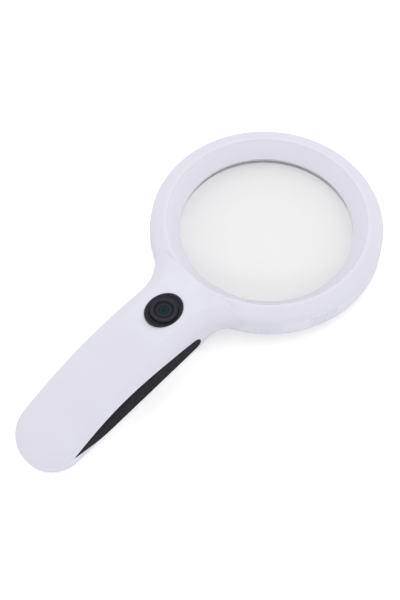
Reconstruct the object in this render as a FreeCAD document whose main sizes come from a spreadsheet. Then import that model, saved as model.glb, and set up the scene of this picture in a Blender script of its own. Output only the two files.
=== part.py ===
import FreeCAD, Part
import math
import os
import re

import Sketcher
from FreeCAD import Placement, Rotation, Vector

# Hand-held illuminated magnifier, lying face up on a flat surface.
#
# The pieces are drawn in the head's own frame, in millimetres: the origin is the centre of the
# aperture's front edge, +Z is the lens axis towards the eye and the handle points along -Y.
# Every finished piece then gets one common Placement, which lays the tool down on the ground
# plane, resting on the far edge of the head and on the end of the handle.

doc = FreeCAD.newDocument("Magnifier")
sizes = doc.addObject("Spreadsheet::Sheet", "Sizes")

DRIVING_SIZES = [
    # head, as seen from the front
    ("aperture_radius", 44.0),
    ("crease_radius", 51.0),
    ("crease_height", 7.8),
    ("shoulder_radius", 57.0),
    ("shoulder_height", 6.17),
    ("shoulder_crown", 17.4),
    ("shoulder_round", 3.51),
    ("head_radius", 59.0),
    ("head_side_top", 3.0),
    ("head_floor", -8.5),
    ("floor_round", 2.5),
    ("seam_height", -3.2),
    # walls
    ("ring_wall", 2.2),
    ("roof_corner", 2.5),
    ("roof_peak_radius", 52.0),
    ("roof_peak", 5.2),
    ("roof_foot", 0.5),
    ("lip_depth", 1.3),
    ("collar_inner", 45.7),
    ("collar_outer", 47.2),
    ("lens_seat", -4.1),
    ("rear_bore", 44.6),
    ("rear_mouth", 46.4),
    ("ring_inner_floor", -6.2),
    ("handle_wall", 1.8),
    # lens and its gasket
    ("lens_radius", 45.5),
    ("lens_curve", 260.0),
    ("lens_rim", 2.2),
    ("gasket_thick", 0.4),
    ("gasket_inner", 44.9),
    ("gasket_outer", 45.6),
    # light ring
    ("groove_inner", 48.2),
    ("groove_outer", 55.6),
    ("groove_depth", 0.9),
    ("diffuser_thick", 0.8),
    ("diffuser_play", 0.1),
    ("led_pitch_radius", 51.9),
    ("led_hole_radius", 2.3),
    ("led_radius", 1.7),
    ("led_base", 0.5),
    ("led_dome_radius", 1.2),
    ("led_dome_drop", 0.1),
    ("ring_board_inner", 48.0),
    ("ring_board_outer", 56.0),
    ("ring_board_thick", 1.2),
    # handle outline in plan
    ("handle_half_width", 18.95),
    ("side_bulge_y", -100.0),
    ("neck_round", 26.0),
    ("side_curve", 1180.0),
    ("end_corner", 16.5),
    ("end_curve", 23.0),
    ("handle_end", -168.3),
    # handle outline from the side
    ("handle_top", 7.9),
    ("handle_floor", -17.2),
    ("arch_start", -72.0),
    ("top_curve", 252.0),
    ("floor_curve", 460.0),
    ("seam_curve", 332.0),
    ("neck_start", -46.0),
    ("step_start", -48.5),
    ("edge_round", 7.5),
    ("neck_cut_radius", 51.5),
    ("neck_cut_level", 4.9),
    ("neck_wall_radius", 57.0),
    ("cavity_cut_radius", 58.8),
    ("gate_half_width", 9.0),
    ("gate_back", -62.0),
    ("gate_front", -54.0),
    ("gate_floor", -5.0),
    ("gate_roof", 2.0),
    # soft side grips
    ("grip_depth", 1.2),
    ("grip_neck_end", -72.0),
    ("grip_neck_level", -7.0),
    ("grip_neck_half", 4.4),
    ("grip_neck_round", 4.5),
    ("leaf_top_curve", 114.0),
    ("leaf_bottom_curve", 200.0),
    ("grip_tip", -153.5),
    ("grip_tip_level", -12.5),
    # push button
    ("button_centre", -74.7),
    ("bezel_half_length", 10.4),
    ("bezel_half_width", 8.7),
    ("bezel_top", 8.5),
    ("bezel_bottom", 3.4),
    ("bezel_lip", 0.8),
    ("bezel_bore", 7.25),
    ("bezel_dish", 30.0),
    ("bezel_flange", 1.3),
    ("cap_radius", 6.95),
    ("cap_top", 8.7),
    ("cap_bottom", 2.0),
    ("cap_flange", 8.0),
    ("cap_flange_thick", 1.0),
    ("cap_dish_radius", 5.6),
    ("cap_dish_curve", 24.0),
    ("cap_pocket_radius", 4.2),
    ("cap_pocket_top", 5.0),
    ("symbol_radius", 2.7),
    ("symbol_bottom", 7.2),
    # switch, its spring and the control board
    ("switch_top", 0.0),
    ("switch_side", 7.0),
    ("switch_hole_radius", 1.8),
    ("switch_hole_depth", 2.6),
    ("plunger_radius", 1.5),
    ("plunger_bottom", -1.0),
    ("spring_radius", 3.0),
    ("spring_wire", 0.4),
    ("spring_turns", 2.5),
    ("spring_tip_radius", 2.6),
    ("board_top", -5.0),
    ("board_thick", 1.6),
    ("board_width", 22.0),
    ("board_front", -65.0),
    ("board_back", -87.0),
    ("board_screw_x", 9.6),
    ("board_screw_y", -83.6),
    ("board_screw_radius", 0.9),
    ("board_screw_head", 1.8),
    ("board_screw_head_height", 1.2),
    ("board_screw_reach", 4.0),
    ("board_hole_radius", 1.0),
    ("resistor_length", 3.2),
    ("resistor_width", 1.6),
    ("resistor_height", 0.6),
    ("resistor_pitch", 2.4),
    ("resistor_x", 4.5),
    ("resistor_y", -75.0),
    ("chip_length", 5.0),
    ("chip_width", 4.0),
    ("chip_height", 1.5),
    ("chip_x", -7.5),
    ("chip_y", -79.0),
    # casing screws
    ("neck_screw_x", 13.8),
    ("neck_screw_y", -67.5),
    ("neck_screw_seat", -9.6),
    ("end_screw_y", -151.5),
    ("end_screw_seat", -20.6),
    ("seat_to_joint", 1.8),
    ("boss_radius", 3.3),
    ("post_radius", 2.7),
    ("screw_radius", 1.2),
    ("screw_play", 0.05),
    ("screw_length", 8.5),
    ("pilot_length", 9.0),
    ("board_pilot_length", 5.0),
    ("screw_head_radius", 2.2),
    ("screw_head_height", 1.5),
    ("screw_recess_radius", 2.5),
    ("cross_length", 2.4),
    ("cross_width", 0.6),
    ("cross_depth", 0.8),
    # battery compartment
    ("battery_y", -116.0),
    ("battery_z", -8.6),
    ("battery_slope", 8.0),
    ("battery_radius", 5.15),
    ("battery_length", 43.5),
    ("battery_pitch", 10.6),
    ("nub_radius", 1.9),
    ("nub_height", 1.0),
    ("tray_length", 51.0),
    ("tray_half_width", 15.0),
    ("tray_wall", 1.2),
    ("tray_roof", 5.3),
    ("tray_floor", -5.0),
    ("tray_post_radius", 2.0),
    ("tray_post_x", 8.0),
    ("tray_post_front_y", -100.0),
    ("tray_post_gap", 0.5),
    ("tray_post_back_y", -132.0),
    ("plate_thick", 0.4),
    ("plate_width", 8.0),
    ("plate_height", 5.0),
    ("contact_wire", 0.6),
    ("contact_radius", 2.6),
    ("contact_turns", 2.5),
    ("contact_tip_radius", 1.6),
    ("rib_half", 0.5),
    ("rib_floor", 2.6),
    # battery cover
    ("cover_front", -91.0),
    ("cover_back", -144.0),
    ("cover_half_width", 14.0),
    ("cover_gap", 0.3),
    ("cover_corner", 3.0),
    ("cover_ceiling", -12.6),
    ("tab_level", -21.0),
    ("latch_level", -15.75),
    ("latch_root", 0.5),
    ("latch_bead_reach", 0.15),
    ("latch_bead_low", 0.3),
    ("latch_bead_high", 1.3),
    ("ridge_level", -18.05),
    ("ridge_pitch", 2.5),
    ("ridge_width", 0.9),
    ("ridge_half_length", 6.0),
    ("ridge_height", 1.2),
    ("tab_width", 5.0),
    ("tab_offset", 8.0),
    ("tab_reach", 2.6),
    ("tab_root", 2.0),
    ("tab_thick", 1.2),
    ("latch_width", 9.0),
    ("latch_height", 3.8),
    ("latch_thick", 1.2),
    # leads
    ("lead_radius", 0.4),
    # reach of cutting tools and blanks beyond the tool's own outline
    ("far", 80.0),
    ("beyond", 9.0),
    ("high", 30.0),
    ("deep", -45.0),
    # pose on the ground plane
    ("rest_tilt", 4.5327),
    ("rest_y", 55.088),
    ("rest_z", 12.9448),
]

# Sizes that follow from the driving ones: the tangent arcs of the handle's outline in plan,
# and the two equal arcs by which its underside steps down from the head.
DERIVED_SIZES = [
    ("side_x", "handle_half_width - side_curve"),
    ("neck_reach", "head_radius + neck_round"),
    ("side_to_neck", "side_curve + neck_round"),
    ("side_away", "sqrt(side_x^2 + side_bulge_y^2)"),
    ("neck_along", "(neck_reach^2 - side_to_neck^2 + side_away^2) / (2 * side_away)"),
    ("neck_aside", "sqrt(neck_reach^2 - neck_along^2)"),
    ("neck_x", "(neck_along * side_x - neck_aside * side_bulge_y) / side_away"),
    ("neck_y", "(neck_along * side_bulge_y + neck_aside * side_x) / side_away"),
    ("end_y", "handle_end + end_curve"),
    ("end_rise", "end_y - side_bulge_y"),
    ("span", "sqrt(side_x^2 + end_rise^2)"),
    ("side_reach", "side_curve - end_corner"),
    ("end_reach", "end_curve - end_corner"),
    ("along", "(side_reach^2 - end_reach^2 + span^2) / (2 * span)"),
    ("aside", "sqrt(side_reach^2 - along^2)"),
    ("corner_x", "side_x + (aside * end_rise - along * side_x) / span"),
    ("corner_y", "side_bulge_y + (along * end_rise + aside * side_x) / span"),
    ("arch_reach", "arch_start - handle_end"),
    ("step_run", "step_start - arch_start"),
    ("step_drop", "head_floor - handle_floor"),
    ("step_radius", "(step_run^2 + step_drop^2) / (4 * step_drop)"),
    ("step_sine", "step_run / (2 * step_radius)"),
    ("step_cosine", "1 - step_drop / (2 * step_radius)"),
]
ALIASES = {alias for alias, _ in DRIVING_SIZES + DERIVED_SIZES}


def bound(text):
    """Expression text with every alias written as a cell of the spreadsheet."""
    return re.sub("[a-z_]+", lambda m: ("Sizes." if m.group() in ALIASES else "") + m.group(), text)


rows = [(alias, str(value)) for alias, value in DRIVING_SIZES]
rows += [(alias, "=" + text) for alias, text in DERIVED_SIZES]
for row, (alias, content) in enumerate(rows, start=1):
    sizes.set("A%d" % row, alias.replace("_", " "))
    sizes.set("B%d" % row, content)
    sizes.setAlias("B%d" % row, alias)
probe = doc.addObject("Spreadsheet::Sheet", "Probe")
doc.recompute()


def number(text):
    """Value of an expression in the spreadsheet's aliases."""
    probe.set("A1", "=" + bound(text))
    probe.recompute()
    return float(probe.get("A1"))


def size(alias):
    """Number held by one cell of the spreadsheet."""
    return float(getattr(sizes, alias))


BASE_AXES = {"x": ".Placement.Base.x", "y": ".Placement.Base.y", "z": ".Placement.Base.z"}


def bind(item, **expressions):
    """Tie properties to the spreadsheet; x, y and z stand for the placement's base."""
    for prop, text in expressions.items():
        item.setExpression(BASE_AXES.get(prop, prop), bound(text))
    return item


def cylinder(name, radius, bottom, top, x="0", y="0"):
    item = doc.addObject("Part::Cylinder", name)
    return bind(item, Radius=radius, Height="(%s) - (%s)" % (top, bottom), x=x, y=y, z=bottom)


def block(name, low, high):
    """Box between two corners, each a tuple of three expressions."""
    item = doc.addObject("Part::Box", name)
    length, width, height = ["(%s) - (%s)" % (b, a) for a, b in zip(low, high)]
    return bind(item, Length=length, Width=width, Height=height, x=low[0], y=low[1], z=low[2])


def sphere(name, radius, z, x="0", y="0"):
    return bind(doc.addObject("Part::Sphere", name), Radius=radius, x=x, y=y, z=z)


def oval(name, half_long, half_short, bottom, top, y):
    """Upright prism on an ellipse whose long axis lies along the handle."""
    ellipse = doc.addObject("Part::Ellipse", name + "_edge")
    ring = bind(ellipse, MajorRadius=half_long, MinorRadius=half_short)
    item = doc.addObject("Part::Extrusion", name)
    item.Base = ring
    item.DirMode = "Custom"
    item.Dir = Vector(0, 0, 1)
    item.Solid = True
    item.Placement = Placement(Vector(0, 0, 0), Rotation(Vector(0, 0, 1), 90))
    return bind(item, LengthFwd="(%s) - (%s)" % (top, bottom), y=y, z=bottom)


def join(kind, name, items):
    item = doc.addObject(kind, name)
    item.Shapes = list(items)
    return item


def fuse(name, *items):
    return join("Part::MultiFuse", name, items)


def common(name, *items):
    return join("Part::MultiCommon", name, items)


def cut(name, base, *tools):
    item = doc.addObject("Part::Cut", name)
    item.Base = base
    item.Tool = tools[0] if len(tools) == 1 else fuse(name + "_tools", *tools)
    return item


def group(name, items):
    """Several separate solids kept in one node."""
    item = doc.addObject("Part::Compound", name)
    item.Links = list(items)
    return item


def body_named(name):
    return doc.addObject("PartDesign::Body", name)


def sketch_on(body, name, role):
    plane = [f for f in body.Origin.OriginFeatures if f.Role == role][0]
    sketch = body.newObject("Sketcher::SketchObject", name)
    sketch.AttachmentSupport = [(plane, "")]
    sketch.MapMode = "FlatFace"
    return sketch


def run_shape(start, finish, arc):
    """Line or arc between two points; arc is None or (radius, side of the centre)."""
    if arc is None:
        return Part.LineSegment(start, finish)
    radius, side = number(arc[0]), arc[1]
    chord = finish - start
    left = Vector(-chord.y, chord.x, 0).normalize()
    rise = math.sqrt(max(radius ** 2 - (chord.Length / 2) ** 2, 0))
    middle = (start + finish) * 0.5 + left * side * (rise - radius)
    return Part.ArcOfCircle(start, middle, finish)


def draw_loop(sketch, corners):
    """Closed outline. Each corner is (x, y) or (x, y, (radius, side)) for an arc to the next one.

    side is +1 where the arc's centre lies to the left of the run to the next corner, else -1.
    """
    first = sketch.GeometryCount
    points = [Vector(number(corner[0]), number(corner[1]), 0) for corner in corners]
    count = len(corners)
    for index, corner in enumerate(corners):
        arc = corner[2] if len(corner) > 2 else None
        sketch.addGeometry(run_shape(points[index], points[(index + 1) % count], arc))
    for index, corner in enumerate(corners):
        here, before = first + index, first + (index - 1) % count
        point = end_at(sketch, here, points[index])
        other = end_at(sketch, before, points[index])
        sketch.addConstraint(Sketcher.Constraint("Coincident", before, other, here, point))
        for kind, text in (("DistanceX", corner[0]), ("DistanceY", corner[1])):
            held = sketch.addConstraint(Sketcher.Constraint(kind, -1, 1, here, point, number(text)))
            sketch.setExpression("Constraints[%d]" % held, bound(text))
        if len(corner) > 2:
            held = sketch.addConstraint(Sketcher.Constraint("Radius", here, number(corner[2][0])))
            sketch.setExpression("Constraints[%d]" % held, bound(corner[2][0]))


def end_at(sketch, geometry, place):
    """1 or 2: whether a line or arc starts or ends at a point."""
    from_start, from_end = [(sketch.getPoint(geometry, end) - place).Length for end in (1, 2)]
    return 1 if from_start < from_end else 2


def turned(name, corners):
    """Body of revolution about the lens axis from an outline of (radius, height) corners."""
    body = body_named(name)
    sketch = sketch_on(body, name + "_section", "XZ_Plane")
    draw_loop(sketch, corners)
    solid = body.newObject("PartDesign::Revolution", name + "_turned")
    solid.Profile = sketch
    solid.ReferenceAxis = (sketch, ["V_Axis"])
    solid.Angle = 360
    sketch.Visibility = False
    return body


def padded(name, role, corners, length):
    """Body padded to both sides of an origin plane from an outline."""
    body = body_named(name)
    sketch = sketch_on(body, name + "_outline", role)
    draw_loop(sketch, corners)
    solid = body.newObject("PartDesign::Pad", name + "_pad")
    solid.Profile = sketch
    solid.SideType = "Symmetric"
    bind(solid, Length=length)
    return body


# ---------------------------------------------------------------- handle and neck envelope

CLEAR = 0.01
MATCH = 0.05


def plan_corners(inset):
    """Outline of neck and handle from above: right side, rounded end, left side."""
    ring = "(head_radius - %s) / neck_reach" % inset
    neck = "(neck_round + %s) / side_to_neck" % inset
    side = "(side_curve - %s) / side_reach" % inset
    end = "(end_curve - %s) / end_reach" % inset
    right = [
        ("neck_x * %s" % ring, "neck_y * %s" % ring, ("neck_round + %s" % inset, 1)),
        ("neck_x + (side_x - neck_x) * %s" % neck, "neck_y + (side_bulge_y - neck_y) * %s" % neck,
         ("side_curve - %s" % inset, -1)),
        ("side_x + (corner_x - side_x) * %s" % side,
         "side_bulge_y + (corner_y - side_bulge_y) * %s" % side, ("end_corner - %s" % inset, -1)),
        ("corner_x * %s" % end, "end_y + (corner_y - end_y) * %s" % end, ("end_curve - %s" % inset, -1)),
    ]
    left_arcs = [arc for _, _, arc in right[2::-1]]
    left = [("-(%s)" % x, y, arc) for (x, y, _), arc in zip(right[:0:-1], left_arcs)]
    return right + left + [("-(%s)" % right[0][0], right[0][1])]


def side_corners(inset):
    """Outline of neck and handle from the side: level top, arched end, stepped underside."""
    reach = "(arch_reach + beyond)"
    tail = "handle_end - beyond"
    return [
        ("neck_start", "handle_top - %s" % inset),
        ("arch_start", "handle_top - %s" % inset, ("top_curve - %s" % inset, 1)),
        (tail, "handle_top - top_curve + sqrt((top_curve - %s)^2 - %s^2)" % (inset, reach)),
        (tail, "handle_floor - floor_curve + sqrt((floor_curve + %s)^2 - %s^2)" % (inset, reach),
         ("floor_curve + %s" % inset, -1)),
        ("arch_start", "handle_floor + %s" % inset, ("step_radius - %s" % inset, 1)),
        ("(step_start + arch_start) / 2 - %s * step_sine" % inset,
         "(head_floor + handle_floor) / 2 + %s * step_cosine" % inset, ("step_radius + %s" % inset, -1)),
        ("step_start", "head_floor + %s" % inset),
        ("neck_start", "head_floor + %s" % inset),
    ]


def seam_level(y):
    """Height of the casing's seam, which follows the handle's arch."""
    return size("seam_height") - max(0.0, size("arch_start") - y) ** 2 / (2 * size("seam_curve"))


def rim_names(shape, upper):
    """Edges of the top rim or of the bottom rim, leaving out upright and cross edges."""
    names = []
    for index, edge in enumerate(shape.Edges, start=1):
        middle = edge.BoundBox.Center
        level_run = edge.BoundBox.YLength > CLEAR
        if level_run and (middle.z > seam_level(middle.y)) == upper:
            names.append("Edge%d" % index)
    return names


def handle_blank(name, inset):
    """Solid envelope of neck and handle, moved inwards by an inset."""
    body = padded(name, "YZ_Plane", side_corners(inset), "2 * far")
    frame = sketch_on(body, name + "_plan", "XY_Plane")
    draw_loop(frame, plan_corners(inset))
    back, front = "handle_end - far", "neck_start + beyond"
    draw_loop(frame, [("-far", back), ("far", back), ("far", front), ("-far", front)])
    doc.recompute()
    last = body.newObject("PartDesign::Pocket", name + "_trim")
    last.Profile = frame
    last.Type = "ThroughAll"
    last.SideType = "Symmetric"
    doc.recompute()
    trimmed = last.Shape
    assert trimmed.BoundBox.XLength < size("far"), name + ": the plan outline trims nothing"
    middles = [trimmed.getElement(edge).BoundBox.Center for edge in rim_names(trimmed, False)]
    last = rounded(body, name + "_top_round", last, rim_names(trimmed, True), inset)
    bottom_names = [
        "Edge%d" % index
        for index, edge in enumerate(last.Shape.Edges, start=1)
        if any((edge.BoundBox.Center - middle).Length < MATCH for middle in middles)
    ]
    rounded(body, name + "_bottom_round", last, bottom_names, inset)
    return body


def rounded(body, name, base, names, inset):
    item = body.newObject("PartDesign::Fillet", name)
    item.Base = (base, names)
    bind(item, Radius="edge_round - %s" % inset)
    doc.recompute()
    return item


neck_hole = cylinder("neck_hole", "neck_cut_radius", "-high", "high")
head_hollow = cylinder("head_hollow", "neck_wall_radius", "-high", "neck_cut_level")
outer_blank = cut("outer_blank", handle_blank("handle_envelope", "0"), neck_hole, head_hollow)
grip_core = handle_blank("handle_under_grip", "grip_depth")
cavity_hole = cylinder("cavity_hole", "cavity_cut_radius", "-high", "high")
cavity = cut("cavity", handle_blank("handle_inside", "handle_wall"), cavity_hole)

# Everything below the casing's seam: level under the head, arched along the handle.
seam_reach = "(arch_reach + beyond)"
below_seam = padded("below_seam", "YZ_Plane", [
    ("far", "seam_height"),
    ("arch_start", "seam_height", ("seam_curve", 1)),
    ("handle_end - beyond", "seam_height - seam_curve + sqrt(seam_curve^2 - %s^2)" % seam_reach),
    ("handle_end - beyond", "deep"),
    ("far", "deep"),
], "2 * far")

# ---------------------------------------------------------------- side grips

def leaf(name, side):
    """Upright leaf seen from the side: round at the neck, pointed at the handle's end."""
    body = body_named(name)
    sketch = sketch_on(body, name + "_outline", "YZ_Plane")
    draw_loop(sketch, [
        ("grip_neck_end", "grip_neck_level + grip_neck_half", ("leaf_top_curve", 1)),
        ("grip_tip", "grip_tip_level", ("leaf_bottom_curve", 1)),
        ("grip_neck_end", "grip_neck_level - grip_neck_half", ("grip_neck_round", 1)),
    ])
    pad = body.newObject("PartDesign::Pad", name + "_pad")
    pad.Profile = sketch
    pad.Reversed = side < 0
    bind(pad, Length="far")
    return body


grip_skin = cut("grip_skin", outer_blank, grip_core)
leaves = [leaf("leaf_right", 1), leaf("leaf_left", -1)]
grip_right = common("grip_right", leaves[0], grip_skin)
grip_left = common("grip_left", leaves[1], grip_skin)
grips = fuse("grips", grip_right, grip_left)

# ---------------------------------------------------------------- casing shells

front_ring = turned("front_ring", [
    ("aperture_radius", "0"),
    ("crease_radius", "crease_height", ("shoulder_crown", -1)),
    ("shoulder_radius", "shoulder_height", ("shoulder_round", -1)),
    ("head_radius", "head_side_top"),
    ("head_radius", "seam_height"),
    ("head_radius - ring_wall", "seam_height"),
    ("head_radius - ring_wall", "roof_corner"),
    ("roof_peak_radius", "roof_peak"),
    ("collar_outer", "roof_foot"),
    ("collar_outer", "seam_height"),
    ("collar_inner", "seam_height"),
    ("collar_inner", "-lip_depth"),
    ("aperture_radius", "-lip_depth"),
])
groove_top = "head_floor + groove_depth"
rear_ring = turned("rear_ring", [
    ("head_radius", "seam_height"),
    ("head_radius", "head_floor + floor_round", ("floor_round", -1)),
    ("head_radius - floor_round", "head_floor"),
    ("groove_outer", "head_floor"),
    ("groove_outer", groove_top),
    ("groove_inner", groove_top),
    ("groove_inner", "head_floor"),
    ("rear_mouth", "head_floor"),
    ("rear_bore", "head_floor + rear_mouth - rear_bore"),
    ("rear_bore", "lens_seat"),
    ("collar_inner", "lens_seat"),
    ("collar_inner", "seam_height"),
    ("collar_outer", "seam_height"),
    ("collar_outer", "ring_inner_floor"),
    ("head_radius - ring_wall", "ring_inner_floor"),
    ("head_radius - ring_wall", "seam_height"),
])

# Screws that join the two shells: across, along, and the level of the screw's seat.
CASING_SCREWS = [
    ("neck_screw_x", "neck_screw_y", "neck_screw_seat"),
    ("-neck_screw_x", "neck_screw_y", "neck_screw_seat"),
    ("0", "end_screw_y", "end_screw_seat"),
]
BOARD_SCREWS = [("board_screw_x", "board_screw_y"), ("-board_screw_x", "board_screw_y")]
posts, bosses, pilots, passages = [], [], [], []
for index, (x, y, seat) in enumerate(CASING_SCREWS, start=1):
    joint = seat + " + seat_to_joint"
    posts.append(cylinder("post_%d" % index, "post_radius", joint, "handle_top", x, y))
    bosses.append(cylinder("boss_%d" % index, "boss_radius", "deep", joint, x, y))
    pilots.append(cylinder("pilot_%d" % index, "screw_radius", joint, seat + " + pilot_length", x, y))
    passages.append(cylinder("passage_%d" % index, "screw_radius + screw_play", "deep", joint, x, y))
    passages.append(cylinder("recess_%d" % index, "screw_recess_radius", "deep", seat, x, y))
for index, (x, y) in enumerate(BOARD_SCREWS, start=1):
    posts.append(cylinder("board_post_%d" % index, "post_radius", "board_top", "handle_top", x, y))
    pilots.append(cylinder("board_pilot_%d" % index, "board_screw_radius", "board_top",
                           "board_top + board_pilot_length", x, y))
for side, sign in (("right", ""), ("left", "-")):
    for end in ("tray_post_front_y", "tray_post_back_y"):
        slope = "(%s - battery_y) * tan(battery_slope)" % end
        foot = "battery_z + (tray_roof + tray_wall) / cos(battery_slope) + tray_post_gap + " + slope
        posts.append(cylinder(end[:-1] + side, "tray_post_radius", foot, "handle_top",
                              sign + "tray_post_x", end))

bezel_hole = oval("bezel_hole", "bezel_half_length - bezel_lip", "bezel_half_width - bezel_lip",
                  "bezel_bottom - bezel_lip", "high", "button_centre")
bezel_seat = oval("bezel_seat", "bezel_half_length", "bezel_half_width",
                  "bezel_top - bezel_flange", "high", "button_centre")
wire_gate = block("wire_gate", ("-gate_half_width", "gate_back", "gate_floor"),
                  ("gate_half_width", "gate_front", "gate_roof"))

handle_walls = cut("handle_walls", outer_blank, cavity)
front_walls = cut("front_walls", fuse("front_mass", front_ring, handle_walls), below_seam)
front_posts = common("front_posts", fuse("all_posts", *posts), outer_blank)
front_shell = cut("front_casing", fuse("front_filled", front_walls, front_posts),
                  grips, bezel_hole, bezel_seat, wire_gate, *pilots)

rear_walls = fuse("rear_walls", rear_ring, common("rear_handle", handle_walls, below_seam))
rear_bosses = common("rear_bosses", fuse("all_bosses", *bosses), outer_blank)


def round_cornered(name, half_width, front, back, corner):
    """Upright prism on a rectangle with rounded corners."""
    return padded(name, "XY_Plane", [
        ("-(%s) + %s" % (half_width, corner), front),
        ("%s - %s" % (half_width, corner), front, (corner, -1)),
        (half_width, "%s - %s" % (front, corner)),
        (half_width, "%s + %s" % (back, corner), (corner, -1)),
        ("%s - %s" % (half_width, corner), back),
        ("-(%s) + %s" % (half_width, corner), back, (corner, -1)),
        ("-(%s)" % half_width, "%s + %s" % (back, corner)),
        ("-(%s)" % half_width, "%s - %s" % (front, corner), (corner, -1)),
    ], "2 * far")


upper_space = block("upper_space", ("-far", "handle_end - beyond", "cover_ceiling"), ("far", "far", "far"))
cover_window = round_cornered("cover_window", "cover_half_width + cover_gap", "cover_front + cover_gap",
                              "cover_back - cover_gap", "cover_corner")
cover_outline = round_cornered("cover_outline", "cover_half_width", "cover_front", "cover_back",
                               "cover_corner")
cover_opening = cut("cover_opening", cover_window, upper_space)
cover_plate = cut("cover_plate", common("cover_skin", cover_outline, handle_walls), upper_space)

LED_COUNT = 12


def around(name, make, count):
    """Copies of an upright piece at equal angles on the light ring's pitch circle."""
    items = []
    for index in range(count):
        angle = "%g deg" % ((index + 0.5) * 360 / count)
        items.append(make("%s_%d" % (name, index + 1), "led_pitch_radius * cos(%s)" % angle,
                          "led_pitch_radius * sin(%s)" % angle))
    return items


def led_hole(name, x, y):
    return cylinder(name, "led_hole_radius", "head_floor", "ring_inner_floor + led_base", x, y)


led_holes = around("led_hole", led_hole, LED_COUNT)
rear_shell = cut("rear_casing", fuse("rear_filled", rear_walls, rear_bosses), grips, cover_opening,
                 wire_gate, *passages, *led_holes)

# ---------------------------------------------------------------- battery cover

# Two hook tabs at the back, a latch tongue at the front and three thumb ridges outside.
cover_tabs = [
    block("cover_tab_%d" % index, ("%s - tab_width / 2" % x, "cover_back - tab_reach", "tab_level"),
          ("%s + tab_width / 2" % x, "cover_back + tab_root", "tab_level + tab_thick"))
    for index, x in enumerate(("tab_offset", "-tab_offset"), start=1)
]
latch_tongue = block("latch_tongue",
                     ("-latch_width / 2", "cover_front - latch_thick", "latch_level - latch_root"),
                     ("latch_width / 2", "cover_front", "latch_level + latch_height"))
latch_bead = block("latch_bead",
                   ("-latch_width / 2", "cover_front - latch_thick", "latch_level + latch_bead_low"),
                   ("latch_width / 2", "cover_front + latch_bead_reach", "latch_level + latch_bead_high"))
ridges = [
    block("thumb_ridge_%d" % index,
          ("-ridge_half_length", "cover_front - %d * ridge_pitch - ridge_width" % index, "ridge_level"),
          ("ridge_half_length", "cover_front - %d * ridge_pitch" % index, "ridge_level + ridge_height"))
    for index in (1, 2, 3)
]
battery_cover = fuse("cover_body", cover_plate, latch_tongue, latch_bead, *cover_tabs, *ridges)

# ---------------------------------------------------------------- lens, gasket and light ring

rim_top = "-(lip_depth + gasket_thick)"
rim_bottom = rim_top + " - lens_rim"
sag_centre = "sqrt(lens_curve^2 - lens_radius^2)"
lens = common("lens_body", cylinder("lens_barrel", "lens_radius", "-high", "high"),
              sphere("lens_front", "lens_curve", "%s - %s" % (rim_top, sag_centre)),
              sphere("lens_back", "lens_curve", "%s + %s" % (rim_bottom, sag_centre)))


def ring(name, inner, outer, bottom, top):
    disc = cylinder(name + "_outer", outer, bottom, top)
    return cut(name, disc, cylinder(name + "_inner", inner, bottom, top))


gasket_ring = ring("gasket_ring", "gasket_inner", "gasket_outer", rim_top, "-lip_depth")
gasket = cut("gasket_body", gasket_ring, lens)
ring_board = ring("ring_board_body", "ring_board_inner", "ring_board_outer", "ring_inner_floor",
                  "ring_inner_floor + ring_board_thick")
diffuser = ring("diffuser_body", "groove_inner + diffuser_play", "groove_outer - diffuser_play",
                groove_top + " - diffuser_thick", groove_top)


def led(name, x, y):
    """Flat base on the board with a domed lamp looking down."""
    base = cylinder(name + "_base", "led_radius", "ring_inner_floor - led_base", "ring_inner_floor", x, y)
    ball = sphere(name + "_ball", "led_dome_radius", "ring_inner_floor - led_dome_drop", x, y)
    dome = common(name + "_dome", ball,
                  cylinder(name + "_below", "led_radius", "head_floor", "ring_inner_floor", x, y))
    return fuse(name, base, dome)


leds = group("led_group", around("led", led, LED_COUNT))

# ---------------------------------------------------------------- push button

bezel_blank = fuse("bezel_blank",
                   oval("bezel_flange_oval", "bezel_half_length", "bezel_half_width",
                        "bezel_top - bezel_flange", "bezel_top", "button_centre"),
                   oval("bezel_skirt", "bezel_half_length - bezel_lip", "bezel_half_width - bezel_lip",
                        "bezel_bottom", "bezel_top - bezel_flange / 2", "button_centre"))
bezel_dish = sphere("bezel_dish_ball", "bezel_dish",
                    "bezel_top + sqrt(bezel_dish^2 - bezel_half_length^2)", y="button_centre")
bezel = cut("bezel_body", bezel_blank, bezel_dish,
            cylinder("bezel_bore_hole", "bezel_bore", "0", "high", y="button_centre"))

cap_dish = sphere("cap_dish_ball", "cap_dish_curve",
                  "cap_top + sqrt(cap_dish_curve^2 - cap_dish_radius^2)", y="button_centre")
cap_blank = fuse("cap_blank",
                 cylinder("cap_stem", "cap_radius", "cap_bottom", "cap_top", y="button_centre"),
                 cylinder("cap_flange_disc", "cap_flange", "cap_bottom", "cap_bottom + cap_flange_thick",
                          y="button_centre"))
cap = cut("cap_body", cap_blank, cap_dish,
          cylinder("cap_pocket", "cap_pocket_radius", "0", "cap_pocket_top", y="button_centre"),
          cylinder("symbol_pocket", "symbol_radius", "symbol_bottom", "high", y="button_centre"))
symbol_disc = cylinder("symbol_disc", "symbol_radius", "symbol_bottom", "high", y="button_centre")
symbol = cut("symbol_body", symbol_disc, cap_dish)
plunger = cylinder("plunger_body", "plunger_radius", "plunger_bottom", "cap_pocket_top", y="button_centre")

half = "switch_side / 2"
switch = cut("switch_housing",
             block("switch_block", ("-" + half, "button_centre - " + half, "board_top"),
                   (half, "button_centre + " + half, "switch_top")),
             cylinder("switch_hole", "switch_hole_radius", "switch_top - switch_hole_depth", "high",
                      y="button_centre"))

# ---------------------------------------------------------------- control board

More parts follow.
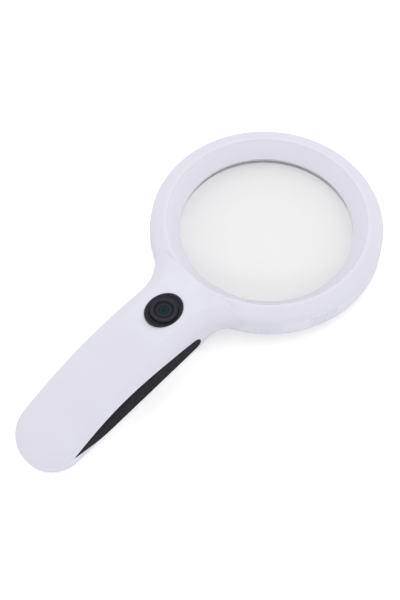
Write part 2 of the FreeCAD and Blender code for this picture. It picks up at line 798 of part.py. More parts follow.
board_low, board_high = "board_top - board_thick", "board_top"
board = cut("board_body",
            block("board_blank", ("-board_width / 2", "board_back", board_low),
                  ("board_width / 2", "board_front", board_high)),
            *[cylinder("board_hole_%d" % index, "board_hole_radius", "deep", "board_top", x, y)
              for index, (x, y) in enumerate(BOARD_SCREWS, start=1)])
resistors = group("resistor_group", [
    block("resistor_%d" % index,
          ("resistor_x + %d * resistor_pitch" % index, "resistor_y", board_high),
          ("resistor_x + %d * resistor_pitch + resistor_width" % index, "resistor_y + resistor_length",
           board_high + " + resistor_height"))
    for index in range(3)
])
driver_chip = block("driver_body", ("chip_x", "chip_y", board_low + " - chip_height"),
                    ("chip_x + chip_length", "chip_y + chip_width", board_low))


def cross_slots(name, x, y, head_bottom):
    """Two crossed slots that open the underside of a screw head."""
    half_long, half_wide = "cross_length / 2", "cross_width / 2"
    spans = [(half_long, half_wide), (half_wide, half_long)]
    return [
        block("%s_slot_%d" % (name, index),
              ("%s - %s" % (x, dx), "%s - %s" % (y, dy), "%s - cross_depth" % head_bottom),
              ("%s + %s" % (x, dx), "%s + %s" % (y, dy), "%s + cross_depth" % head_bottom))
        for index, (dx, dy) in enumerate(spans, start=1)
    ]


def screw(name, x, y, seat, shank_radius, shank_length, head_radius, head_height):
    head_bottom = "%s - %s" % (seat, head_height)
    shank = cylinder(name + "_shank", shank_radius, seat, "%s + %s" % (seat, shank_length), x, y)
    solid = fuse(name + "_solid", shank, cylinder(name + "_head", head_radius, head_bottom, seat, x, y))
    return cut(name, solid, *cross_slots(name, x, y, head_bottom))


casing_screws = group("casing_screw_group", [
    screw("casing_screw_%d" % index, x, y, seat, "screw_radius", "screw_length", "screw_head_radius",
          "screw_head_height")
    for index, (x, y, seat) in enumerate(CASING_SCREWS, start=1)
])
board_screws = group("board_screw_group", [
    screw("board_screw_%d" % index, x, y, board_low, "board_screw_radius",
          "(board_thick + board_screw_reach)", "board_screw_head", "board_screw_head_height")
    for index, (x, y) in enumerate(BOARD_SCREWS, start=1)
])

# ---------------------------------------------------------------- batteries, in their own frame

TRAY_INSIDE = "(tray_length / 2 - tray_wall)"
CELLS = [("right", "battery_pitch", 1), ("middle", "0", -1), ("left", "-battery_pitch", 1)]


def rod(name, radius, start, finish, x, z):
    """Cylinder along Y between two levels, whichever comes first."""
    item = cylinder(name, radius, "0", "abs((%s) - (%s))" % (finish, start))
    item.Placement = Placement(Vector(0, 0, 0), Rotation(Vector(1, 0, 0), -90))
    return bind(item, x=x, y="min(%s; %s)" % (start, finish), z=z)


def cell(name, x, sense):
    """Round cell with its positive nub towards the head (sense 1) or away from it (-1)."""
    nub_end = "%d * (%s - plate_thick)" % (sense, TRAY_INSIDE)
    nub_root = "%s - %d * nub_height" % (nub_end, sense)
    tail = "%s - %d * battery_length" % (nub_root, sense)
    return fuse(name, rod(name + "_can", "battery_radius", tail, nub_root, x, "0"),
                rod(name + "_nub", "nub_radius", nub_root, nub_end, x, "0"))


def plate(name, x_low, x_high, sense):
    wall = "%d * %s" % (sense, TRAY_INSIDE)
    inner = "%s - %d * plate_thick" % (wall, sense)
    ends = (inner, wall) if sense > 0 else (wall, inner)
    return block(name, (x_low, ends[0], "-plate_height / 2"), (x_high, ends[1], "plate_height / 2"))


cells = [cell(name + "_cell", x, sense) for name, x, sense in CELLS]
plate_half = "plate_width / 2"
bridge_plates = group("bridge_group", [
    plate("front_bridge", "-battery_pitch - " + plate_half, plate_half, 1),
    plate("back_bridge", "-" + plate_half, "battery_pitch + " + plate_half, -1),
])
end_plates = [
    plate("positive_plate", "battery_pitch - " + plate_half, "battery_pitch + " + plate_half, 1),
    plate("negative_plate", "-battery_pitch - " + plate_half, "-battery_pitch + " + plate_half, -1),
]
tray_parts = [block("tray_roof_plate", ("-tray_half_width", "-tray_length / 2", "tray_roof"),
                    ("tray_half_width", "tray_length / 2", "tray_roof + tray_wall"))]
for index, sense in enumerate((1, -1)):
    low, high = [TRAY_INSIDE, "tray_length / 2"] if sense > 0 else ["-tray_length / 2", "-" + TRAY_INSIDE]
    tray_parts.append(block("tray_end_%d" % index, ("-tray_half_width", low, "tray_floor"),
                            ("tray_half_width", high, "tray_roof + tray_wall / 2")))
for index, side in enumerate(("battery_pitch / 2", "-battery_pitch / 2")):
    tray_parts.append(block("tray_rib_%d" % index, (side + " - rib_half", "-tray_length / 2", "rib_floor"),
                            (side + " + rib_half", "tray_length / 2", "tray_roof + tray_wall / 2")))
battery_tray = fuse("tray_body", *tray_parts)


def coil(radius, tip_radius, wire, height, turns):
    """Slightly conical helical spring along +Z, as high as given with the wire's own thickness."""
    rise = height - wire
    taper = math.degrees(math.atan2(tip_radius - radius, rise))
    path = Part.makeHelix(rise / turns, rise, radius, taper)
    section = Part.Wire(Part.makeCircle(wire / 2, Vector(radius, 0, 0), Vector(0, 1, 0)))
    spring = Part.Wire(path.Edges).makePipeShell([section], True, True)
    spring.translate(Vector(0, 0, wire / 2))
    return spring


def feature(name, shape):
    item = doc.addObject("Part::Feature", name)
    item.Shape = shape
    return item


return_coil = coil(size("spring_radius"), size("spring_tip_radius"), size("spring_wire"),
                   size("cap_pocket_top") - size("switch_top"), size("spring_turns"))
return_coil.translate(Vector(0, size("button_centre"), size("switch_top")))
return_spring = feature("return_spring_coil", Part.makeCompound([return_coil]))

contact_height = number("2 * %s - 2 * plate_thick - nub_height - battery_length" % TRAY_INSIDE)
contact_coils = []
for _, x, sense in CELLS:
    contact = coil(size("contact_radius"), size("contact_tip_radius"), size("contact_wire"), contact_height,
                   size("contact_turns"))
    contact.rotate(Vector(0, 0, 0), Vector(1, 0, 0), -90 * sense)
    contact.translate(Vector(number(x), -sense * (number(TRAY_INSIDE) - size("plate_thick")), 0))
    contact_coils.append(contact)
contact_springs = feature("contact_coils", Part.makeCompound(contact_coils))

# ---------------------------------------------------------------- leads

TILTED = Placement(Vector(0, size("battery_y"), size("battery_z")),
                   Rotation(Vector(1, 0, 0), size("battery_slope")))


BEND_SHARE = 0.45
TOUCH = 0.1


def lead(name, points):
    """Insulated wire along straight runs joined by tangent arcs as large as the runs allow."""
    radius = size("lead_radius")
    edges, last = [], points[0]
    for before, here, after in zip(points, points[1:], points[2:]):
        run_in, run_out = here - before, after - here
        reach = BEND_SHARE * min(run_in.Length, run_out.Length)
        bend = reach / math.tan(run_in.getAngle(run_out) / 2)
        arc_start = here - run_in.normalize() * reach
        arc_end = here + run_out.normalize() * reach
        towards = (arc_start + arc_end) * 0.5 - here
        centre = here + towards.normalize() * math.hypot(bend, reach)
        middle = centre + (here - centre).normalize() * bend
        edges.append(Part.LineSegment(last, arc_start).toShape())
        edges.append(Part.Arc(arc_start, middle, arc_end).toShape())
        last = arc_end
    edges.append(Part.LineSegment(last, points[-1]).toShape())
    path = Part.Wire(edges)
    section = Part.Wire(Part.makeCircle(radius, points[0], points[1] - points[0]))
    tube = path.makePipeShell([section], True, False)
    expected = math.pi * radius ** 2 * path.Length
    assert abs(tube.Volume / expected - 1) < 0.02, name + ": the tube's volume is off"
    return feature(name, tube)


def in_tray(points):
    """Points given in the tilted frame of the batteries, in the head's frame."""
    return [TILTED.multVec(Vector(*point)) for point in points]


board_roof = size("board_top") + TOUCH
board_underside = size("board_top") - size("board_thick") - TOUCH
ring_board_roof = size("ring_inner_floor") + size("ring_board_thick") + TOUCH
positive_lead = lead("positive_wire", in_tray([(10.6, 25.8, -2.2)]) + [
    Vector(10.6, -85.8, -9.6), Vector(9.0, -79.0, -10.4), Vector(6.5, -72.4, -10.4),
    Vector(6.0, -69.0, -9.8), Vector(6.0, -68.7, board_underside),
])
negative_lead = lead("negative_wire", in_tray([
    (-10.6, -25.7, 2.6), (-10.3, -28.9, 3.2), (-8.2, -30.0, 5.2), (-5.0, -27.8, 6.9), (-4.0, -21.0, 7.5),
    (-4.6, -7.0, 7.6), (-3.5, 7.0, 7.7), (-4.0, 20.0, 8.0),
]) + [Vector(-4.0, -90.2, 4.0), Vector(-4.0, -86.2, 1.0), Vector(-4.0, -84.4, board_roof)])
led_leads = [
    lead(name, [Vector(x, -67.2, board_roof), Vector(x, -66.2, -1.9), Vector(x, -62.6, -0.6),
                Vector(x, -57.5, -0.6), Vector(x, -54.4, -1.8), Vector(x, -53.4, ring_board_roof)])
    for name, x in (("lamp_positive_wire", 2.2), ("lamp_negative_wire", -2.2))
]

# ---------------------------------------------------------------- finished pieces

LYING = Placement(Vector(0, size("rest_y"), size("rest_z")), Rotation(Vector(1, 0, 0), -size("rest_tilt")))
IN_TRAY = LYING.multiply(TILTED)
PIECES = [
    ("front_shell", front_shell, LYING),
    ("rear_shell", rear_shell, LYING),
    ("side_grip_right", grip_right, LYING),
    ("side_grip_left", grip_left, LYING),
    ("battery_cover", battery_cover, LYING),
    ("magnifying_lens", lens, LYING),
    ("lens_gasket", gasket, LYING),
    ("led_diffuser_ring", diffuser, LYING),
    ("led_ring_board", ring_board, LYING),
    ("led_lamps", leds, LYING),
    ("button_bezel", bezel, LYING),
    ("power_button", cap, LYING),
    ("power_symbol_insert", symbol, LYING),
    ("switch_plunger", plunger, LYING),
    ("button_return_spring", return_spring, LYING),
    ("push_switch_housing", switch, LYING),
    ("control_board", board, LYING),
    ("current_limit_resistors", resistors, LYING),
    ("led_driver_chip", driver_chip, LYING),
    ("board_screws", board_screws, LYING),
    ("casing_screws", casing_screws, LYING),
    ("battery_tray", battery_tray, IN_TRAY),
    ("battery_right", cells[0], IN_TRAY),
    ("battery_middle", cells[1], IN_TRAY),
    ("battery_left", cells[2], IN_TRAY),
    ("bridge_contact_plates", bridge_plates, IN_TRAY),
    ("positive_contact_plate", end_plates[0], IN_TRAY),
    ("negative_contact_plate", end_plates[1], IN_TRAY),
    ("battery_contact_springs", contact_springs, IN_TRAY),
    ("battery_lead_positive", positive_lead, LYING),
    ("battery_lead_negative", negative_lead, LYING),
    ("lamp_lead_positive", led_leads[0], LYING),
    ("lamp_lead_negative", led_leads[1], LYING),
]


def finished(label, source, place):
    """Sub-part with its own label and placement; a shape that others use is linked, not moved."""
    placed_by_sheet = any("Placement" in path for path, _ in source.ExpressionEngine)
    item = group(label, [source]) if source.InList or placed_by_sheet else source
    item.Label = label
    item.Placement = place
    return item


pieces = [finished(*piece) for piece in PIECES]
doc.recompute()

for item in doc.Objects:
    assert "Invalid" not in item.State and "Error" not in item.State, item.Name + " failed"
for item in pieces:
    shape = item.Shape
    assert not shape.isNull() and shape.isValid() and shape.Solids, item.Label + " has no valid solid"

os.makedirs("parts", exist_ok=True)
for item in pieces:
    item.Shape.exportStep("parts/%s.step" % item.Label)
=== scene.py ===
import math

import bmesh
import bpy
from mathutils import Matrix, Vector


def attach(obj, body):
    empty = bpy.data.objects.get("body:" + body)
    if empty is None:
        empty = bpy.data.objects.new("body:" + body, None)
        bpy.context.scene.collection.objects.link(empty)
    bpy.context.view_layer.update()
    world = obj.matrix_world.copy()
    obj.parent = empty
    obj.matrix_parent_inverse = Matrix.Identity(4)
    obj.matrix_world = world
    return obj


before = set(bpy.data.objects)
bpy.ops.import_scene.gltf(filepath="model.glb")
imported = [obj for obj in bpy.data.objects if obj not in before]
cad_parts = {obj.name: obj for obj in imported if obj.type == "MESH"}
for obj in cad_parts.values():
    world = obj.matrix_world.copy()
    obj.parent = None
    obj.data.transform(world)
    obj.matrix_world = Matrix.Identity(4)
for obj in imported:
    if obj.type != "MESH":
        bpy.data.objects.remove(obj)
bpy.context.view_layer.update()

MM = 0.001

# ---------------------------------------------------------------- the head's own frame

# Sizes in the head's frame are in millimetres: origin at the centre of the aperture's front
# edge, +Z towards the eye and the handle along -Y. The tool lies tilted on the ground plane.
REST_TILT = math.radians(4.5327)
REST_SHIFT = Vector((0.0, 55.0880, 12.9448))
LYING = Matrix.Scale(MM, 4) @ Matrix.Translation(REST_SHIFT) @ Matrix.Rotation(-REST_TILT, 4, "X")

# ---------------------------------------------------------------- materials


def set_range(node, *limits):
    """Limits of a Map Range node: from low, from high, to low, to high."""
    for socket, value in zip(("From Min", "From Max", "To Min", "To Max"), limits):
        node.inputs[socket].default_value = value


class Look:
    """Builds one node material step by step around a Principled shader."""

    def __init__(self, name):
        self.material = bpy.data.materials.new(name)
        self.material.use_nodes = True
        self.nodes = self.material.node_tree.nodes
        self.links = self.material.node_tree.links
        self.shader = self.nodes["Principled BSDF"]
        self.place = self.nodes.new("ShaderNodeTexCoord").outputs["Object"]

    def set(self, **values):
        for socket, value in values.items():
            self.shader.inputs[socket.replace("_", " ")].default_value = value
        return self

    def noise(self, scale, detail=3.0, roughness=0.5):
        node = self.nodes.new("ShaderNodeTexNoise")
        node.inputs["Scale"].default_value = scale
        node.inputs["Detail"].default_value = detail
        node.inputs["Roughness"].default_value = roughness
        self.links.new(self.place, node.inputs["Vector"])
        return node.outputs["Fac"]

    def cells(self, scale):
        node = self.nodes.new("ShaderNodeTexVoronoi")
        node.inputs["Scale"].default_value = scale
        self.links.new(self.place, node.inputs["Vector"])
        return node.outputs["Distance"]

    def waves(self, scale, distortion=0.0, axis="X"):
        node = self.nodes.new("ShaderNodeTexWave")
        node.bands_direction = axis
        node.inputs["Scale"].default_value = scale
        node.inputs["Distortion"].default_value = distortion
        self.links.new(self.place, node.inputs["Vector"])
        return node.outputs["Fac"]

    def worn_edges(self, low=0.5, high=0.56):
        """1 on sharp outer edges, 0 elsewhere."""
        point = self.nodes.new("ShaderNodeNewGeometry").outputs["Pointiness"]
        return self.spread(point, low, high, 0.0, 1.0)

    def spread(self, source, low, high, out_low, out_high):
        node = self.nodes.new("ShaderNodeMapRange")
        set_range(node, low, high, out_low, out_high)
        self.links.new(source, node.inputs["Value"])
        return node.outputs["Result"]

    def mix(self, factor, first, second):
        """Colour mix of two colours or sockets."""
        node = self.nodes.new("ShaderNodeMix")
        node.data_type = "RGBA"
        self.links.new(factor, node.inputs[0])
        for socket, value in ((node.inputs[6], first), (node.inputs[7], second)):
            if isinstance(value, bpy.types.NodeSocket):
                self.links.new(value, socket)
            else:
                socket.default_value = (*value, 1.0)
        return node.outputs[2]

    def colour(self, source):
        self.links.new(source, self.shader.inputs["Base Color"])
        return self

    def roughness(self, source, low, high):
        self.links.new(self.spread(source, 0.25, 0.75, low, high), self.shader.inputs["Roughness"])
        return self

    def bump(self, *layers):
        """Stack of bump layers, each a (height, strength, depth in metres)."""
        last = None
        for height, strength, depth in layers:
            node = self.nodes.new("ShaderNodeBump")
            node.inputs["Strength"].default_value = strength
            node.inputs["Distance"].default_value = depth
            self.links.new(height, node.inputs["Height"])
            if last is not None:
                self.links.new(last, node.inputs["Normal"])
            last = node.outputs["Normal"]
        self.links.new(last, self.shader.inputs["Normal"])
        return self


def linear(*rgb):
    """Scene-linear colour from sRGB display values between 0 and 255."""
    shares = [value / 255 for value in rgb]
    return tuple(share / 12.92 if share <= 0.04 else ((share + 0.055) / 1.055) ** 2.4 for share in shares)


def moulded(name, colour, shade, low, high, grain=2600.0, depth=2e-6, worn=None, **sockets):
    """Injection-moulded plastic: faint mottling, fine spark-eroded grain and softly polished edges."""
    look = Look(name).set(**sockets)
    mottled = look.mix(look.spread(look.noise(45.0, 4.0), 0.35, 0.65, 0.0, 1.0), colour, shade)
    look.colour(look.mix(look.worn_edges(), mottled, worn or colour))
    look.roughness(look.noise(160.0, 3.0), low, high)
    grains = (look.noise(grain, 2.0), 0.35, depth)
    swells = (look.noise(60.0, 2.0), 0.12, depth * 8)
    return look.bump(grains, swells).material


# Distances from the aperture's centre, in metres, between which the cone's painted light fades out.
CONE_PAINTED_LIGHT_END, CONE_PAINTED_LIGHT_GONE = 0.0500, 0.0532


def painted_light_cone(name, colour, shade, painted_light_colour, *moulding, **sockets):
    """Moulded plastic with painted light: paler on the cone round the lens, with a soft boundary."""
    material = moulded(name, colour, shade, *moulding, **sockets)
    nodes, links = material.node_tree.nodes, material.node_tree.links
    shader = nodes["Principled BSDF"]
    plain = shader.inputs["Base Color"].links[0].from_socket
    place = nodes["Texture Coordinate"].outputs["Object"]
    away = nodes.new("ShaderNodeVectorMath")
    away.operation = "DISTANCE"
    away.inputs[1].default_value = LYING @ Vector((0.0, 0.0, 0.0))
    links.new(place, away.inputs[0])
    painted_light_share = nodes.new("ShaderNodeMapRange")
    painted_light_share.interpolation_type = "SMOOTHSTEP"
    set_range(painted_light_share, CONE_PAINTED_LIGHT_END, CONE_PAINTED_LIGHT_GONE, 1.0, 0.0)
    links.new(away.outputs["Value"], painted_light_share.inputs["Value"])
    mix = nodes.new("ShaderNodeMix")
    mix.data_type = "RGBA"
    links.new(painted_light_share.outputs["Result"], mix.inputs[0])
    links.new(plain, mix.inputs[6])
    # Painted light: the cone takes a paler colour to make up for the shade it gets.
    mix.inputs[7].default_value = (*painted_light_colour, 1.0)
    links.new(mix.outputs[2], shader.inputs["Base Color"])
    return material


def metal(name, colour, shade, low, high, brushed="X", scale=900.0):
    """Plated metal with a fine drawn grain, dulled in patches."""
    look = Look(name).set(Metallic=1.0)
    dull = look.spread(look.noise(220.0, 4.0), 0.4, 0.7, 0.0, 1.0)
    look.colour(look.mix(look.worn_edges(), look.mix(dull, colour, shade), colour))
    look.roughness(look.noise(500.0, 3.0), low, high)
    drawn = (look.waves(scale, 6.0, brushed), 0.15, 3e-6)
    return look.bump(drawn, (look.noise(1500.0), 0.2, 2e-6)).material


def rubber(name, colour, shade):
    """Soft-touch rubber with a pebbled, slightly dusty surface."""
    look = Look(name).set(Specular_IOR_Level=0.12)
    dusty = look.mix(look.spread(look.noise(320.0, 5.0), 0.3, 0.75, 0.0, 1.0), colour, shade)
    look.colour(look.mix(look.worn_edges(0.5, 0.6), dusty, shade))
    look.roughness(look.noise(400.0), 0.62, 0.82)
    return look.bump((look.cells(1500.0), 0.5, 2.5e-5), (look.noise(3500.0), 0.3, 8e-6)).material


ACRYLIC_INDEX = 1.49
HARDLY_DARKER = 0.995


def glassy(name, tint, roughness, scale):
    """Moulded acrylic, almost free of marks."""
    look = Look(name).set(IOR=ACRYLIC_INDEX, Transmission_Weight=1.0)
    look.colour(look.mix(look.noise(30.0), tint, tuple(value * HARDLY_DARKER for value in tint)))
    look.roughness(look.noise(scale), *roughness)
    return look.bump((look.noise(90.0), 0.03, 2e-6)).material


def frosted(name, colour, shade):
    """Acrylic sheet with a sand-blasted face that spreads the lamps' light."""
    look = Look(name).set(IOR=ACRYLIC_INDEX, Transmission_Weight=0.55, Subsurface_Weight=0.1)
    look.colour(look.mix(look.noise(250.0, 4.0), colour, shade))
    look.roughness(look.noise(700.0), 0.45, 0.65)
    return look.bump((look.cells(1400.0), 0.25, 1.2e-5)).material


def circuit(name, colour, shade, copper):
    """Solder-masked laminate: weave below the mask and faint tracks."""
    look = Look(name).set(Coat_Weight=0.4, Coat_Roughness=0.2)
    base = look.mix(look.spread(look.noise(900.0), 0.35, 0.65, 0.0, 1.0), colour, shade)
    tracks = look.spread(look.waves(240.0, 3.5), 0.93, 0.97, 0.0, 1.0)
    look.colour(look.mix(tracks, base, copper))
    look.roughness(look.noise(600.0), 0.3, 0.5)
    return look.bump((tracks, 0.4, 2e-5), (look.waves(1800.0, 0.0, "Y"), 0.1, 4e-6)).material


def jacket(name, colour, shade):
    """Printed foil sleeve shrunk on a cell, with faint wrinkles along its ends."""
    look = Look(name).set(Coat_Weight=0.5, Coat_Roughness=0.12, Metallic=0.3)
    look.colour(look.mix(look.spread(look.noise(70.0, 5.0), 0.4, 0.6, 0.0, 1.0), colour, shade))
    look.roughness(look.noise(260.0, 4.0), 0.25, 0.42)
    return look.bump((look.noise(420.0, 4.0), 0.25, 1.5e-5)).material


MATERIALS = {
    "shell_white": moulded("moulded_white", linear(221, 220, 231), linear(218, 217, 229), 0.34, 0.46,
                           worn=linear(226, 226, 236), Specular_IOR_Level=0.35),
    "grip_rubber": rubber("grip_rubber_black", linear(28, 28, 33), linear(40, 39, 45)),
    "lens_clear": glassy("lens_acrylic", (0.985, 0.985, 0.99), (0.0, 0.02), 500.0),
    "gasket_grey": rubber("gasket_rubber_grey", linear(120, 122, 126), linear(150, 152, 156)),
    "diffuser_frosted": frosted("diffuser_acrylic", linear(240, 241, 244), linear(228, 230, 236)),
    "board_green": circuit("board_laminate", linear(22, 84, 50), linear(16, 66, 40),
                           linear(128, 104, 54)),
    "led_yellowish": moulded("led_resin", linear(242, 232, 170), linear(250, 242, 200), 0.12, 0.25,
                             Subsurface_Weight=0.2, Coat_Weight=0.5),
    "button_black": moulded("button_plastic_black", linear(20, 20, 27), linear(25, 25, 33), 0.22, 0.38,
                            worn=linear(58, 58, 66), Specular_IOR_Level=0.12),
    "symbol_teal": moulded("symbol_plastic_teal", linear(16, 50, 54), linear(12, 40, 46), 0.30, 0.42,
                           worn=linear(22, 60, 64), Specular_IOR_Level=0.12),
    "plunger_white": moulded("plunger_nylon", linear(228, 226, 216), linear(216, 213, 200), 0.40, 0.55),
    "spring_steel": metal("spring_wire_steel", linear(176, 178, 182), linear(132, 134, 140), 0.22, 0.4,
                          "Z"),
    "switch_black": moulded("switch_plastic_black", linear(30, 30, 32), linear(40, 40, 43), 0.40, 0.6),
    "component_black": moulded("component_epoxy", linear(34, 34, 36), linear(44, 44, 46), 0.50, 0.7),
    "screw_zinc": metal("screw_plated_zinc", linear(188, 190, 194), linear(150, 152, 158), 0.25, 0.42, "Z"),
    "tray_white": moulded("tray_plastic", linear(222, 222, 228), linear(208, 208, 216), 0.42, 0.58),
    "battery_jacket": jacket("battery_sleeve", linear(58, 82, 128), linear(44, 64, 104)),
    "contact_nickel": metal("contact_nickel_plate", linear(200, 196, 184), linear(160, 156, 146), 0.2, 0.38,
                            "Y"),
    "lead_red": moulded("lead_insulation_red", linear(172, 34, 30), linear(150, 26, 24), 0.38, 0.55),
    "lead_black": moulded("lead_insulation_black", linear(30, 30, 32), linear(42, 42, 44), 0.38, 0.55),
}
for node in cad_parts.values():
    for slot in node.material_slots:
        slot.material = MATERIALS[slot.material.name.split(".")[0]]

# Nodes whose finish differs from their slot's: the cone has painted light, a paler colour to look as
# bright as the ring's top, the symbol's window is darker than the mark on it, and the bezel is duller.
OWN_MATERIALS = {
    # Painted light on the front shell: a paler colour on the cone round the lens.
    "front_shell": painted_light_cone("moulded_white_front_painted_light", linear(221, 220, 231), linear(218, 217, 229),
                              linear(231, 230, 240), 0.34, 0.46,
                              worn=linear(226, 226, 236), Specular_IOR_Level=0.35),
    "power_symbol_insert": moulded("symbol_window_smoked", linear(12, 20, 24), linear(16, 27, 31),
                                   0.24, 0.36, worn=linear(20, 34, 38), Specular_IOR_Level=0.12),
    "button_bezel": moulded("bezel_plastic_black", linear(25, 25, 33), linear(31, 31, 40),
                            0.30, 0.44, worn=linear(48, 48, 58), Specular_IOR_Level=0.15),
}
for name, material in OWN_MATERIALS.items():
    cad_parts[name].material_slots[0].material = material

# ---------------------------------------------------------------- moulded details


def piece(name, points, faces, body, material_slot):
    """A mesh given in the head's frame that rides on one body."""
    mesh = bpy.data.meshes.new(name)
    mesh.from_pydata([LYING @ Vector(point) for point in points], [], faces)
    mesh.materials.append(MATERIALS[material_slot])
    item = bpy.data.objects.new(name, mesh)
    bpy.context.scene.collection.objects.link(item)
    blank = bmesh.new()
    blank.from_mesh(mesh)
    bmesh.ops.recalc_face_normals(blank, faces=blank.faces)
    for face in blank.faces:
        face.smooth = True
    blank.to_mesh(mesh)
    blank.free()
    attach(item, body)
    return item


def tube(path, around, closed):
    """Points and faces of a tube: around(place) gives the ring of points at a place on the path."""
    points, faces = [], []
    for place in path:
        points.extend(around(place))
    rings = len(path)
    width = len(points) // rings
    for ring in range(rings if closed else rings - 1):
        for side in range(width):
            here, ahead = ring * width, (ring + 1) % rings * width
            beside = (side + 1) % width
            faces.append((here + side, here + beside, ahead + beside, ahead + side))
    if not closed:
        faces.append(tuple(reversed(range(width))))
        faces.append(tuple(range((rings - 1) * width, rings * width)))
    return points, faces


FOOT = 0.25
CROWN_STEPS = 8


def bead_section(half_width, height):
    """Half-round bead: offsets across and up, with a flat foot just below the surface."""
    angles = [math.pi * step / CROWN_STEPS for step in range(CROWN_STEPS + 1)]
    crown = [(-math.cos(angle) * half_width, math.sin(angle) * height) for angle in angles]
    return [(-half_width, -FOOT), *crown, (half_width, -FOOT)]


CAP_CENTRE = Vector((0.0, -74.7, 0.0))
FULL_TURN = 360.0


def upwards(level):
    return Vector((0.0, 0.0, level))


def ring_bead(radius, level, half_width, height, start, finish, count):
    """Bead along an arc round the cap's centre; angles in degrees, anticlockwise from +X."""
    section = bead_section(half_width, height)
    closed = finish - start >= FULL_TURN
    gaps = count if closed else count - 1
    turns = [start + (finish - start) * index / gaps for index in range(count)]

    def around(degrees):
        outward = Vector((math.cos(math.radians(degrees)), math.sin(math.radians(degrees)), 0.0))
        return [CAP_CENTRE + outward * (radius + across) + upwards(level + rise)
                for across, rise in section]

    return tube(turns, around, closed)


def stroke_bead(near, far, level, half_width, height):
    """Bead along +Y between two distances from the cap's centre."""
    section = bead_section(half_width, height)

    def around(distance):
        return [CAP_CENTRE + Vector((-across, distance, level + rise)) for across, rise in section]

    return tube([near, far], around, False)


# Power mark on the symbol's window: an open ring and a stroke towards the lens.
WINDOW_TOP = 8.02
MARK_RADIUS = 1.75
MARK_HALF_WIDTH, MARK_HEIGHT = 0.24, 0.14
MARK_FROM, MARK_TO = 125.0, 415.0
STROKE_NEAR, STROKE_FAR = 0.25, 2.1
points, faces = ring_bead(MARK_RADIUS, WINDOW_TOP, MARK_HALF_WIDTH, MARK_HEIGHT, MARK_FROM, MARK_TO, 48)
piece("power_mark_ring", points, faces, "push_button", "symbol_teal")
points, faces = stroke_bead(STROKE_NEAR, STROKE_FAR, WINDOW_TOP, MARK_HALF_WIDTH, MARK_HEIGHT)
piece("power_mark_stroke", points, faces, "push_button", "symbol_teal")

# Fine ridge round the cap's rim.
RIDGE_RADIUS, RIDGE_LEVEL = 6.3, 8.66
RIDGE_HALF_WIDTH, RIDGE_HEIGHT = 0.16, 0.1
points, faces = ring_bead(RIDGE_RADIUS, RIDGE_LEVEL, RIDGE_HALF_WIDTH, RIDGE_HEIGHT, 0.0, FULL_TURN, 96)
piece("cap_rim_ridge", points, faces, "push_button", "button_black")

# Two patches of short upright ribs on each side of the head's outer wall, in two rows.
HEAD_RADIUS = 59.0
RIB_ROWS = ((-5.6, -1.9), (-1.3, 2.6))
RIB_PATCHES = ((-53.0, -40.0), (-26.0, -12.0))
RIB_PITCH = 1.25
RIB_HALF_WIDTH, RIB_HEIGHT = 0.36, 0.30
RIB_SINK = 0.02
# A rib's ends: distance from the end, and the share of the full height there.
RIB_ENDS = ((0.0, 0.2), (0.15, 0.75), (0.5, 1.0))
NARROWEST = 0.6


def rib(angle, bottom, top):
    """Upright half-round rib standing on the outer wall, with eased ends."""
    outward = Vector((math.cos(angle), math.sin(angle), 0.0))
    aside = Vector((-math.sin(angle), math.cos(angle), 0.0))
    section = bead_section(RIB_HALF_WIDTH, RIB_HEIGHT)
    stations = [(bottom + distance, share) for distance, share in RIB_ENDS]
    stations += [(top - distance, share) for distance, share in reversed(RIB_ENDS)]

    def around(station):
        level, share = station
        narrowed = NARROWEST + (1.0 - NARROWEST) * share
        reaches = [HEAD_RADIUS - RIB_SINK + (rise * share if rise > 0 else rise) for _, rise in section]
        return [outward * reach + aside * across * narrowed + upwards(level)
                for reach, (across, _) in zip(reaches, section)]

    return tube(stations, around, False)


rib_step = math.degrees(RIB_PITCH / HEAD_RADIUS)
for side, mirror in (("right", 1), ("left", -1)):
    for number, (start, finish) in enumerate(RIB_PATCHES, start=1):
        points, faces = [], []
        for bottom, top in RIB_ROWS:
            for index in range(int((finish - start) / rib_step) + 1):
                new_points, new_faces = rib(math.radians(start + index * rib_step), bottom, top)
                faces += [tuple(corner + len(points) for corner in face) for face in new_faces]
                points += [Vector((mirror * point.x, point.y, point.z)) for point in new_points]
        piece("side_ribs_%s_%d" % (side, number), points, faces, "casing", "shell_white")

# ---------------------------------------------------------------- floor, light and camera

FLOOR_HALF = 4.0
FLOOR_DROP = 0.0002
FLOOR_GREY = 0.93
FLOOR_GLOW, FLOOR_GLOW_THROUGH_LENS = 0.34, 0.37


def backlit(name, colour, glow, glow_through, low, high):
    """White paper that glows for the camera and through the lens, so shadows on it stay faint."""
    look = Look(name).set(Emission_Color=(1.0, 1.0, 1.0, 1.0))
    path = look.nodes.new("ShaderNodeLightPath")
    both = look.nodes.new("ShaderNodeMath")
    both.operation = "ADD"
    look.links.new(look.spread(path.outputs["Is Camera Ray"], 0.0, 1.0, 0.0, glow), both.inputs[0])
    through = path.outputs["Is Transmission Ray"]
    look.links.new(look.spread(through, 0.0, 1.0, 0.0, glow_through), both.inputs[1])
    look.links.new(both.outputs[0], look.shader.inputs["Emission Strength"])
    look.colour(look.mix(look.noise(3.0), colour, tuple(value * HARDLY_DARKER for value in colour)))
    return look.roughness(look.noise(8.0), low, high).material


bpy.ops.mesh.primitive_plane_add(size=2 * FLOOR_HALF, location=(0, 0, -FLOOR_DROP))
floor = bpy.context.object
floor.name = "studio_floor"
floor.data.materials.append(
    backlit("paper_white", (FLOOR_GREY,) * 3, FLOOR_GLOW, FLOOR_GLOW_THROUGH_LENS, 0.8, 0.9))


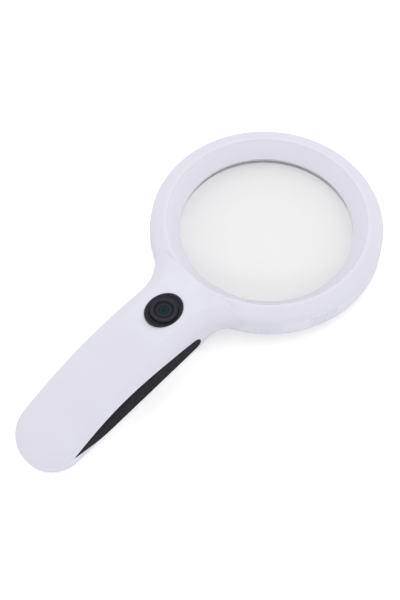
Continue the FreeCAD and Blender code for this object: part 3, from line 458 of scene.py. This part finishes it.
def area_light(name, power, width, place):
    """Square soft box aimed at the origin, unseen in reflections and through the lens."""
    data = bpy.data.lights.new(name, "AREA")
    data.energy = power
    data.shape = "SQUARE"
    data.size = width
    lamp = bpy.data.objects.new(name, data)
    lamp.location = place
    lamp.visible_glossy = False
    lamp.visible_transmission = False
    lamp.rotation_euler = (-Vector(place)).to_track_quat("-Z", "Y").to_euler()
    bpy.context.scene.collection.objects.link(lamp)


SKY_STRENGTH = 0.99
world = bpy.data.worlds.new("studio")
world.use_nodes = True
world.node_tree.nodes["Background"].inputs["Color"].default_value = (1.0, 1.0, 1.0, 1.0)
world.node_tree.nodes["Background"].inputs["Strength"].default_value = SKY_STRENGTH
bpy.context.scene.world = world
area_light("soft_box_left", 0.6, 0.9, (-0.75, 0.35, 0.95))
area_light("soft_box_top", 0.1, 1.2, (0.1, 0.2, 1.3))
area_light("soft_box_back", 1.1, 1.2, (0.1, 1.0, 0.5))

scene = bpy.context.scene
scene.view_settings.view_transform = "Standard"
scene.view_settings.look = "None"

# The camera, placed in the head's frame: bearing, elevation and roll of the view, its distance,
# and how far it is shifted across and along its own image.
BEARING = math.radians(42.95)
ELEVATION = math.radians(58.08)
ROLL = math.radians(0.6)
DISTANCE = 712.09
ACROSS, UPWARD = -33.84, -36.75
LENS = 84.0
CLIP_START = 0.01

back = Vector((math.sin(BEARING) * math.cos(ELEVATION), -math.cos(BEARING) * math.cos(ELEVATION),
               math.sin(ELEVATION)))
level = Vector((math.cos(BEARING), math.sin(BEARING), 0.0))
upright = back.cross(level)
right = level * math.cos(ROLL) + upright * math.sin(ROLL)
up = -level * math.sin(ROLL) + upright * math.cos(ROLL)
turn = LYING.to_3x3() * (1 / MM)
camera_data = bpy.data.cameras.new("camera")
camera_data.lens = LENS
camera_data.clip_start = CLIP_START
camera = bpy.data.objects.new("camera", camera_data)
pose = Matrix([turn @ axis for axis in (right, up, back)]).transposed().to_4x4()
pose.translation = LYING @ (back * DISTANCE + right * ACROSS + up * UPWARD)
camera.matrix_world = pose
scene.collection.objects.link(camera)
scene.camera = camera
